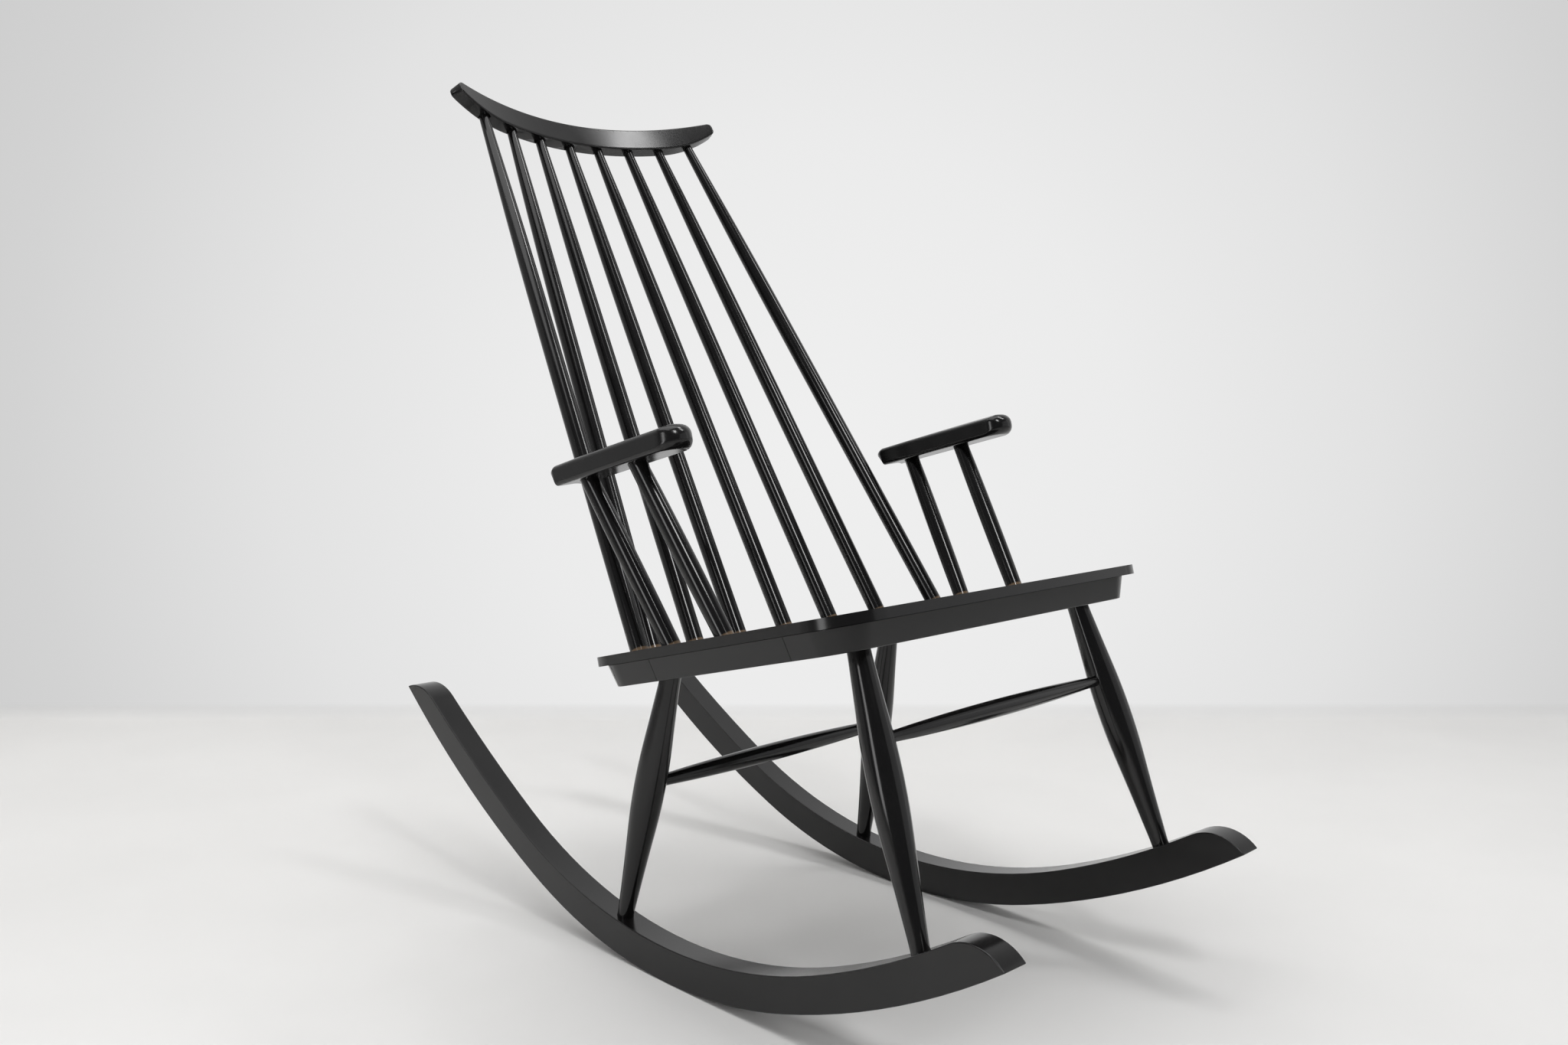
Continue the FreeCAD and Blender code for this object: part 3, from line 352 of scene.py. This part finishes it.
def stage_material():
    """A matt pale floor and wall, not seen from behind so that they never hide the object; the wall
    shows a painted light to the camera and in the gloss.
    """
    material, tree, output = new_material("studio_white")
    place = object_place(tree)
    dull = tuple(FLOOR_DULL_SHARE * part for part in FLOOR_COLOUR)
    marks = noise(tree, place, FLOOR_MARKS)
    tone = blend(tree, marks, FLOOR_MARK_SPAN, dull, FLOOR_COLOUR)
    matt = add_node(tree, "ShaderNodeBsdfDiffuse", {"Color": tone})
    # Painted light on the wall: a glow brightest behind the chair that falls off round it
    painted_wall_glow = add_node(tree, "ShaderNodeEmission", {"Color": wall_painted_light(tree, place)})
    # The wall shows its painted light to the camera and in the gloss; the floor keeps its shadows
    ray = add_node(tree, "ShaderNodeLightPath")
    seen = calculate(tree, "MAXIMUM", ray.outputs["Is Camera Ray"], ray.outputs["Is Glossy Ray"])
    upright = span_share(tree, height_of(tree, place), 0.0, COVE_RADIUS)
    front = mix_shaders(tree, calculate(tree, "MULTIPLY", seen, upright),
                        matt.outputs["BSDF"], painted_wall_glow.outputs["Emission"])
    clear = add_node(tree, "ShaderNodeBsdfTransparent")
    behind = add_node(tree, "ShaderNodeNewGeometry").outputs["Backfacing"]
    both = mix_shaders(tree, behind, front, clear.outputs["BSDF"])
    tree.links.new(both, output.inputs["Surface"])
    return material


# Shape helpers

def coordinates(node):
    """A node's vertices as an array."""
    return np.array([v.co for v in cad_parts[node].data.vertices], float)


def spans_along(points, axes):
    """The least and greatest reach of the points along each axis."""
    return [(float((points @ np.array(axis)).min()), float((points @ np.array(axis)).max()))
            for axis in axes]


def put(name, data):
    """A new object in the scene."""
    made = bpy.data.objects.new(name, data)
    bpy.context.scene.collection.objects.link(made)
    return made


def mesh_data(name, mesh):
    """A finished mesh as data for an object."""
    data = bpy.data.meshes.new(name)
    mesh.to_mesh(data)
    mesh.free()
    return data


def join_rows(mesh, rows, closed=True):
    """Faces between rows of vertices that lie one above another."""
    for below, above in zip(rows, rows[1:]):
        count = len(below)
        for step in range(count if closed else count - 1):
            following = (step + 1) % count
            mesh.faces.new((below[step], below[following], above[following], above[step]))


def finish_piece(piece, node, material):
    """Give a piece its material and body, and hide the node it replaces."""
    piece.data.materials.clear()
    piece.data.materials.append(material)
    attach(piece, "root")
    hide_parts(node)


def keep_faces_flat(piece):
    """Shade a piece so that its large faces stay flat beside its rounded edges."""
    normals = piece.modifiers.new("flat_faces", "WEIGHTED_NORMAL")
    normals.weight = NORMAL_WEIGHT
    normals.keep_sharp = True


def common_with(node, name, data):
    """The mesh that a closed form has in common with a node."""
    form = put(name, data)
    cut = form.modifiers.new("cut", "BOOLEAN")
    cut.operation = "INTERSECT"
    cut.solver = "EXACT"
    cut.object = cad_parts[node]
    bpy.context.view_layer.update()
    result = bpy.data.meshes.new_from_object(
        form.evaluated_get(bpy.context.evaluated_depsgraph_get()))
    bpy.data.objects.remove(form)
    return result


def bore_like(node, data, material):
    """A closed form bored as the node is, in place of the node."""
    result = common_with(node, node + "_blank", data)
    result.shade_smooth()
    result.set_sharp_from_angle(angle=BEVEL_ANGLE)
    piece = put(node + "_rounded", result)
    keep_faces_flat(piece)
    finish_piece(piece, node, material)


def end_circle(points):
    """The centre and radius of the circle that the points lie on."""
    middle = points.mean(0)
    flat = points - middle
    sides = np.linalg.svd(flat, full_matrices=False)[2][:2]
    local = flat @ sides.T
    table = np.column_stack([2.0 * local, np.ones(len(local))])
    found = np.linalg.lstsq(table, (local ** 2).sum(1), rcond=None)[0]
    radius = math.sqrt(found[2] + found[0] ** 2 + found[1] ** 2)
    return middle + found[:2] @ sides, radius


# Turned pieces

def end_direction(node, points, middle, direction):
    """A turned node's direction as its flat end faces give it, starting from a rough one."""
    along = (points - middle) @ direction
    normal = np.zeros(3)
    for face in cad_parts[node].data.polygons:
        facing = np.array(face.normal) @ direction
        reach = (np.array(face.center) - middle) @ direction
        at_end = min(abs(reach - along.max()), abs(reach - along.min())) < END_NEAR
        if at_end and abs(facing) > END_SQUARENESS:
            normal += np.array(face.normal) * face.area * math.copysign(1.0, facing)
    return normal / np.linalg.norm(normal)


def turned_axis(node):
    """The two end centres of a turned node, the lower first."""
    points = coordinates(node)
    middle = points.mean(0)
    direction = np.linalg.svd(points - middle, full_matrices=False)[2][0]
    for _ in range(AXIS_ROUNDS):
        direction = end_direction(node, points, middle, direction)
    along = (points - middle) @ direction
    ends = []
    for limit in (along.min(), along.max()):
        rim = points[abs(along - limit) < RIM_NEAR]
        far = np.linalg.norm(rim - rim.mean(0), axis=1)
        ends.append(end_circle(rim[far > far.max() * OUTER_RIM_SHARE])[0])
    ends.sort(key=lambda end: end[2])
    return Vector(ends[0]), Vector(ends[1])


def profile_stops(node, foot, head):
    """Distances from a turned node's foot, and its radius at each."""
    points = coordinates(node)
    axis = np.array((head - foot).normalized())
    offset = points - np.array(foot)
    along = offset @ axis
    radius = np.linalg.norm(offset - along[:, None] * axis, axis=1)
    length = (head - foot).length
    stops = set()
    for index in range(PROFILE_BANDS):
        start = length * index / PROFILE_BANDS - PROFILE_SLACK
        end = length * (index + 1) / PROFILE_BANDS + PROFILE_SLACK
        inside = (along >= start) & (along <= end)
        if inside.any():
            best = np.argmax(np.where(inside, radius, 0.0))
            stops.add((round(float(along[best]), 6), round(float(radius[best]), 7)))
    return np.array(sorted(stops)).T


def turned_profile(node, foot, head):
    """Radius along a turned node's axis, as a smooth function of the distance from its foot."""
    spots, sizes = profile_stops(node, foot, head)
    slopes = np.gradient(sizes, spots)

    def radius_at(distance):
        index = int(np.clip(np.searchsorted(spots, distance) - 1, 0, len(spots) - 2))
        width = spots[index + 1] - spots[index]
        share = min(max((distance - spots[index]) / width, 0.0), 1.0)
        square, cube = share ** 2, share ** 3
        return float(
            (2 * cube - 3 * square + 1) * sizes[index]
            + (cube - 2 * square + share) * width * slopes[index]
            + (3 * square - 2 * cube) * sizes[index + 1]
            + (cube - square) * width * slopes[index + 1]
        )

    return radius_at


def turn(node, material):
    """A finely turned piece in place of a turned node, its local Z along the axis.

    Gives the axis and the radius within which edges of other pieces are rims of its sockets.
    """
    foot, head = turned_axis(node)
    radius_at = turned_profile(node, foot, head)
    length = (head - foot).length
    rings = max(FEWEST_RINGS, int(length / RING_STEP))
    angles = [2.0 * math.pi * step / AROUND for step in range(AROUND)]
    mesh = bmesh.new()
    rows = []
    for ring in range(rings + 1):
        distance = length * ring / rings
        radius = radius_at(distance)
        rows.append([mesh.verts.new((radius * math.cos(angle), radius * math.sin(angle), distance))
                     for angle in angles])
    join_rows(mesh, rows)
    mesh.faces.new(list(reversed(rows[0])))
    mesh.faces.new(rows[-1])
    for face in mesh.faces:
        face.smooth = len(face.verts) == 4
    piece = put(node + "_turned", mesh_data(node + "_turned", mesh))
    upward = (head - foot).to_track_quat("Z", "Y").to_matrix().to_4x4()
    piece.matrix_world = Matrix.Translation(foot) @ upward
    finish_piece(piece, node, material)
    return foot, head, max(radius_at(0.0), radius_at(length)) + SOCKET_REACH


# Boards

def in_socket(edge, axes):
    """Whether an edge lies on the rim of a socket round one of the turned pieces."""
    for foot, head, radius in axes:
        along = (head - foot).normalized()
        reach = [(vert.co - foot).dot(along) for vert in edge.verts]
        far = max((vert.co - foot - along * run).length for vert, run in zip(edge.verts, reach))
        if far < radius and min(reach) > -MM and max(reach) < (head - foot).length + MM:
            return True
    return False


def ease(node, data, radius, material, axes):
    """A board with its edges softly rounded, but not its sockets' rims, in place of a node."""
    data.name = node + "_eased"
    mesh = bmesh.new()
    mesh.from_mesh(data)
    bmesh.ops.remove_doubles(mesh, verts=mesh.verts, dist=BOARD_WELD)
    bmesh.ops.dissolve_limit(mesh, angle_limit=FLAT_ANGLE, verts=mesh.verts, edges=mesh.edges)
    weights = mesh.edges.layers.float.new("bevel_weight_edge")
    for edge in mesh.edges:
        sharp = edge.calc_face_angle(0.0) > BEVEL_ANGLE
        rim = sharp and in_socket(edge, axes)
        edge[weights] = 1.0 if sharp and not rim else 0.0
        edge.smooth = not rim
    for face in mesh.faces:
        face.smooth = True
    mesh.to_mesh(data)
    mesh.free()
    piece = put(node + "_eased", data)
    bevel = piece.modifiers.new("eased_edges", "BEVEL")
    bevel.width = radius
    bevel.segments = BEVEL_STEPS
    bevel.limit_method = "WEIGHT"
    keep_faces_flat(piece)
    finish_piece(piece, node, material)


def seat_directions():
    """The seat's across, rearward and upward directions, from the panel's flat top."""
    up = Vector()
    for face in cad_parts["seat_panel"].data.polygons:
        if face.normal.z > TOP_FACING:
            up += face.normal * face.area
    up.normalize()
    return ACROSS, up.cross(ACROSS).normalized(), up


def panel_outline(half, front, rear):
    """The panel's outline in plan, rounded at its two front corners and open behind."""
    outline = [(half, rear), (-half, rear)]
    for hand in (-1.0, 1.0):
        for step in range(PANEL_CORNER_STEPS + 1):
            turned = step if hand < 0.0 else PANEL_CORNER_STEPS - step
            angle = QUARTER * turned / PANEL_CORNER_STEPS
            outline.append((hand * (half - PANEL_FRONT_CORNER * (1.0 - math.cos(angle))),
                            front + PANEL_FRONT_CORNER * (1.0 - math.sin(angle))))
    return outline


def rounder_front(node):
    """The seat panel's mesh with its two front corners rounded."""
    across, back, up = seat_directions()
    wide, deep, high = spans_along(coordinates(node), (across, back, up))
    outline = panel_outline(
        wide[1] + PANEL_SLACK, deep[0] - PANEL_SLACK, deep[1] + PANEL_REAR_SLACK)
    mesh = bmesh.new()
    rows = []
    for height in (high[0] - PANEL_FACE_SLACK, high[1] + PANEL_FACE_SLACK):
        rows.append([mesh.verts.new(across * x + back * y + up * height) for x, y in outline])
        mesh.faces.new(rows[-1])
    join_rows(mesh, rows)
    bmesh.ops.recalc_face_normals(mesh, faces=mesh.faces)
    name = node + "_outline"
    return common_with(node, name, mesh_data(name, mesh))


# Arms

def arm_level(band, share, bluntness, rear, half_width, thick):
    """How far in and how high an arm's surface is, at a share of the way over one of its bands."""
    if band == "lower_edge":
        full = ARM_CAP_ROUND + ARM_HEEL_EXTRA * rear
        radius = ARM_LOW_ROUND + (full - ARM_LOW_ROUND) * bluntness
        angle = QUARTER * share
        return radius * (1.0 - math.sin(angle)), radius * (1.0 - math.cos(angle))

    def dome(out):
        return thick - ARM_CROWN * (out / half_width) ** 2

    radius = ARM_TOP_ROUND + (ARM_CAP_ROUND - ARM_TOP_ROUND) * bluntness
    slope = math.atan(2.0 * ARM_CROWN * (half_width - ARM_TOP_ROUND) / half_width ** 2)
    last = QUARTER - slope
    edge = radius * (1.0 - math.cos(last))
    if band == "upper_edge":
        angle = last * share
        drop = radius * (math.sin(last) - math.sin(angle))
        return radius * (1.0 - math.cos(angle)), dome(half_width - edge) - drop
    return edge + (half_width - edge) * share, dome((half_width - edge) * (1.0 - share))


def arm_ring(band, share, half_length, half_width, thick):
    """One ring of an arm: a stadium whose inset, height and rear end vary round it."""
    straight = half_length - half_width
    ring = []
    for index in range(2 * ARM_END_STEPS + 2):
        rear = index <= ARM_END_STEPS
        angle = math.pi * (index if rear else index - 1) / ARM_END_STEPS
        bluntness = abs(math.sin(angle))
        inset, height = arm_level(band, share, bluntness, rear, half_width, thick)
        reach = half_width - inset
        along = (straight if rear else -straight) + reach * math.sin(angle)
        if rear:
            along -= ARM_HEEL_RUN * bluntness * max(0.0, 1.0 - height / (2.0 * ARM_CAP_ROUND))
        tail = max(0.0, along - (half_length - ARM_TAIL_RUN)) / ARM_TAIL_RUN
        ring.append((reach * math.cos(angle), along, height * (1.0 - ARM_TAIL_THIN * tail ** 2)))
    return ring


def round_arm(node, material):
    """An arm with a domed top and soft edges and ends, bored for its posts as the node is."""
    across, back, up = seat_directions()
    spans = spans_along(coordinates(node), (across, back, up))
    middle = [(low + high) / 2.0 for low, high in spans]
    half_width = (spans[0][1] - spans[0][0]) / 2.0 - ARM_CLEARANCE
    half_length = (spans[1][1] - spans[1][0]) / 2.0 - ARM_CLEARANCE
    thick = spans[2][1] - spans[2][0] - 2.0 * ARM_CLEARANCE
    base = across * middle[0] + back * middle[1] + up * (spans[2][0] + ARM_CLEARANCE)
    mesh = bmesh.new()
    rows = []
    for band in ("lower_edge", "upper_edge", "top"):
        for step in range(1 if band == "top" else 0, ARM_STEPS + 1):
            ring = arm_ring(band, step / ARM_STEPS, half_length, half_width, thick)
            rows.append([mesh.verts.new(base + across * x + back * y + up * z) for x, y, z in ring])
    mesh.faces.new(list(reversed(rows[0])))
    join_rows(mesh, rows)
    bmesh.ops.remove_doubles(mesh, verts=mesh.verts, dist=ARM_WELD)
    bmesh.ops.recalc_face_normals(mesh, faces=mesh.faces)
    bore_like(node, mesh_data(node + "_rounded", mesh), material)


# Crest rail

def bend_of(node):
    """The axis, centre, inner and outer radius of a bent plank, from its two long faces."""
    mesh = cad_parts[node].data
    spread = np.zeros((3, 3))
    large = LONG_FACE_SHARE * max(face.area for face in mesh.polygons)
    faces = [face for face in mesh.polygons
             if abs(face.normal.y) > LONG_FACE_FACING and face.area > large]
    for face in faces:
        spread += face.area * np.outer(face.normal, face.normal)
    upright = np.linalg.eigh(spread)[1][:, 0]
    upright *= math.copysign(1.0, upright[2])
    points = coordinates(node)
    flat = points - np.outer(points @ upright, upright)
    found = []
    for hand in (-1.0, 1.0):
        used = set()
        for face in faces:
            square = abs(np.array(face.normal) @ upright) < LONG_FACE_SLANT
            if face.normal.y * hand > LONG_FACE_FACING and square:
                used.update(face.vertices)
        found.append(end_circle(flat[sorted(used)]))
    return Vector(upright), Vector(found[0][0]), found[0][1], found[1][1]


def drawn_in(radius, away):
    """How far a round of a radius draws an outline in, at a distance from where it ends."""
    gap = max(0.0, radius - away)
    return radius - math.sqrt(radius ** 2 - gap ** 2)


def section_ring(corners, inset, rounding):
    """A four-cornered section drawn in by inset, with its corners rounded; points as (out, up)."""
    (inner, low_in), (outer, low_out), (_, high_out), (_, high_in) = corners
    inner, outer = inner + inset, outer - inset
    drawn = ((inner, low_in + inset), (outer, low_out + inset),
             (outer, high_out - inset), (inner, high_in - inset))
    ring = []
    for corner, (out, up) in enumerate(drawn):
        middle_out = out + (rounding if corner in (0, 3) else -rounding)
        middle_up = up + (rounding if corner in (0, 1) else -rounding)
        for step in range(CREST_CORNER_STEPS + 1):
            angle = math.pi * (1.0 + 0.5 * corner) + QUARTER * step / CREST_CORNER_STEPS
            ring.append((middle_out + rounding * math.cos(angle),
                         middle_up + rounding * math.sin(angle)))
    return ring


class BentPlank:
    """A bent plank's measures, read from its node; places in it are angle, radius and height."""

    def __init__(self, node):
        self.upright, self.centre, self.inner, outer = bend_of(node)
        self.back = self.upright.cross(ACROSS)
        self.middle = float(np.mean(coordinates(node) @ np.array(self.upright)))
        self.half = math.asin(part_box(node)[1][0] / outer) - CREST_CLEARANCE / outer
        self.outer = outer - CREST_CLEARANCE
        depsgraph = bpy.context.evaluated_depsgraph_get()
        self.tree = BVHTree.FromObject(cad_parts[node], depsgraph)

    def spot(self, angle, radius, height):
        """A place in the plank as a point."""
        outward = ACROSS * (radius * math.sin(angle)) + self.back * (radius * math.cos(angle))
        return self.centre + outward + self.upright * height

    def heights(self, angle, radius):
        """The plank's lower and upper height at a place in its plan."""
        inside = CREST_FACE_INSIDE * (self.outer - self.inner)
        probe = min(max(radius, self.inner + inside), self.outer - inside)
        below = self.spot(angle, probe, self.middle - probe)
        above = self.spot(angle, probe, self.middle + probe)
        low = self.tree.ray_cast(below, self.upright)[0]
        high = self.tree.ray_cast(above, -self.upright)[0]
        return low.dot(self.upright), high.dot(self.upright)

    def angles(self):
        """Where the sections stand: evenly along the plank, and closer toward its ends."""
        end = [CREST_CORNER_ROUND * (1.0 - math.cos(QUARTER * step / CREST_END_SECTIONS))
               for step in range(CREST_END_SECTIONS + 1)]
        first = [self.half - away / self.outer for away in end]
        between = list(np.linspace(first[-1], -first[-1], CREST_SECTIONS))[1:-1]
        return first + between + [-angle for angle in reversed(first)]

    def section(self, angle):
        """The plank's section at an angle, with soft edges and its corners rounded at the ends."""
        away = (self.half - abs(angle)) * self.outer
        inset = drawn_in(CREST_EDGE_ROUND, away)
        lowered = drawn_in(CREST_CORNER_ROUND, away)
        lift = CREST_LIFT_SHARE * lowered
        inside = math.copysign(min(abs(angle), self.half - CREST_END_INSIDE / self.outer), angle)
        low_in, high_in = self.heights(inside, self.inner)
        low_out, high_out = self.heights(inside, self.outer)
        corners = ((self.inner, low_in + lift), (self.outer, low_out + lift),
                   (self.outer, high_out - lowered), (self.inner, high_in - lowered))
        ring = section_ring(corners, inset, max(CREST_EDGE_ROUND - inset, CREST_LEAST_ROUND))
        return [self.spot(angle, out, up) for out, up in ring]


def bent_rail(node, material):
    """A bent plank with eased edges and rounded ends, bored for the spindles as the node is."""
    plank = BentPlank(node)
    mesh = bmesh.new()
    rows = [[mesh.verts.new(point) for point in plank.section(angle)] for angle in plank.angles()]
    mesh.faces.new(rows[0])
    mesh.faces.new(list(reversed(rows[-1])))
    join_rows(mesh, rows)
    bmesh.ops.recalc_face_normals(mesh, faces=mesh.faces)
    bore_like(node, mesh_data(node + "_rounded", mesh), material)


# Stage, lamps and camera

def wall_plan():
    """The wall's course in plan, from its right end to its left, as places and inward normals."""
    plan = [((WALL_HALF, 0.0), (0.0, -1.0))]
    centre = (RETURN_RADIUS - RETURN_ASIDE, -RETURN_RADIUS)
    for step in range(RETURN_STEPS + 1):
        angle = QUARTER * step / RETURN_STEPS
        normal = (math.sin(angle), -math.cos(angle))
        place = (centre[0] - RETURN_RADIUS * normal[0], centre[1] - RETURN_RADIUS * normal[1])
        plan.append((place, normal))
    plan.append(((-RETURN_ASIDE, -RETURN_RUN), (1.0, 0.0)))
    return plan


def make_stage():
    """A pale floor that turns up into a pale wall behind the chair and on its left."""
    yaw = math.radians(CAMERA_YAW)
    ahead = Vector((math.sin(yaw), math.cos(yaw), 0.0))
    mesh = bmesh.new()
    corners = ((-1.0, -1.0), (1.0, -1.0), (1.0, 1.0), (-1.0, 1.0))
    mesh.faces.new([mesh.verts.new((x * STAGE_HALF, y * STAGE_HALF, 0.0)) for x, y in corners])
    section = []
    for step in range(COVE_STEPS + 1):
        angle = QUARTER * step / COVE_STEPS
        section.append((COVE_RADIUS * (1.0 - math.sin(angle)),
                        COVE_RADIUS * (1.0 - math.cos(angle))))
    section.append((0.0, WALL_HEIGHT))
    rows = []
    for (x, y), (aside, along) in wall_plan():
        rows.append([mesh.verts.new((x + inset * aside, y + inset * along, rise))
                     for inset, rise in section])
    join_rows(mesh, rows, closed=False)
    mesh.faces.ensure_lookup_table()
    for face in mesh.faces[1:]:
        face.smooth = True
    cove = put("studio_cove", mesh_data("studio_cove", mesh))
    cove.location = Vector((CAMERA_PLACE[0], CAMERA_PLACE[1], 0.0)) + ahead * WALL_DISTANCE
    cove.rotation_euler = (0.0, 0.0, -yaw)
    cove.data.materials.append(stage_material())


def make_lamp(name, place, target, width, height, watts):
    """A rectangular softbox aimed at a point."""
    data = bpy.data.lights.new(name, "AREA")
    data.shape = "RECTANGLE"
    data.size = width
    data.size_y = height
    data.energy = watts
    lamp = put(name, data)
    lamp.location = place
    lamp.rotation_euler = (Vector(target) - Vector(place)).to_track_quat("-Z", "Y").to_euler()
    lamp.visible_camera = False


def make_world():
    """The dim room around the set, pale where the camera looks past the stage."""
    world = bpy.data.worlds.new("room")
    world.use_nodes = True
    tree = world.node_tree
    room = tree.nodes["Background"]
    room.inputs["Color"].default_value = ROOM_COLOUR
    pale = add_node(tree, "ShaderNodeBackground", {"Color": BACKDROP_COLOUR})
    ray = add_node(tree, "ShaderNodeLightPath")
    both = mix_shaders(tree, ray.outputs["Is Camera Ray"],
                       room.outputs["Background"], pale.outputs["Background"])
    tree.links.new(both, tree.nodes["World Output"].inputs["Surface"])
    bpy.context.scene.world = world


def make_camera():
    """The camera, as found from the photograph."""
    data = bpy.data.cameras.new("photo_camera")
    data.sensor_width = CAMERA_SENSOR
    data.lens = CAMERA_LENS
    camera = put("photo_camera", data)
    camera.location = CAMERA_PLACE
    camera.rotation_euler = (math.radians(90.0 + CAMERA_PITCH), 0.0, math.radians(-CAMERA_YAW))
    bpy.context.scene.camera = camera


def make_chair():
    """Every piece of the chair, in place of its node."""
    turned = lacquer("black_lacquer_turned", grain=2, pore_depth=0.001 * MM,
                     peel_depth=0.001 * MM, gloss=0.12, dust=0.2)
    stood = lacquer("black_lacquer_stood", grain=2, pore_depth=0.001 * MM,
                    peel_depth=0.001 * MM, gloss=0.12, dust=0.2, foot=True)
    board = lacquer("black_lacquer_board", grain=1, pore_depth=0.008 * MM,
                    peel_depth=0.008 * MM, gloss=0.16, dust=0.45)
    cross = lacquer("black_lacquer_cross", grain=0, pore_depth=0.003 * MM,
                    peel_depth=0.003 * MM, gloss=0.16, dust=0.35)
    tenons = [turn(node, stood if node in STOOD_IN_SEAT else turned) for node in TURNED]
    for node, radius in BOARDS.items():
        if node == "seat_panel":
            data = rounder_front(node)
        else:
            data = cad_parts[node].data.copy()
        ease(node, data, radius, cross if node in GRAIN_ACROSS else board, tenons)
    for side in SIDES:
        round_arm("arm_" + side, board)
    bent_rail("crest_rail", cross)


make_camera()
make_world()
make_stage()
for lamp in LAMPS:
    make_lamp(*lamp)
bpy.context.scene.view_settings.view_transform = "Standard"
make_chair()
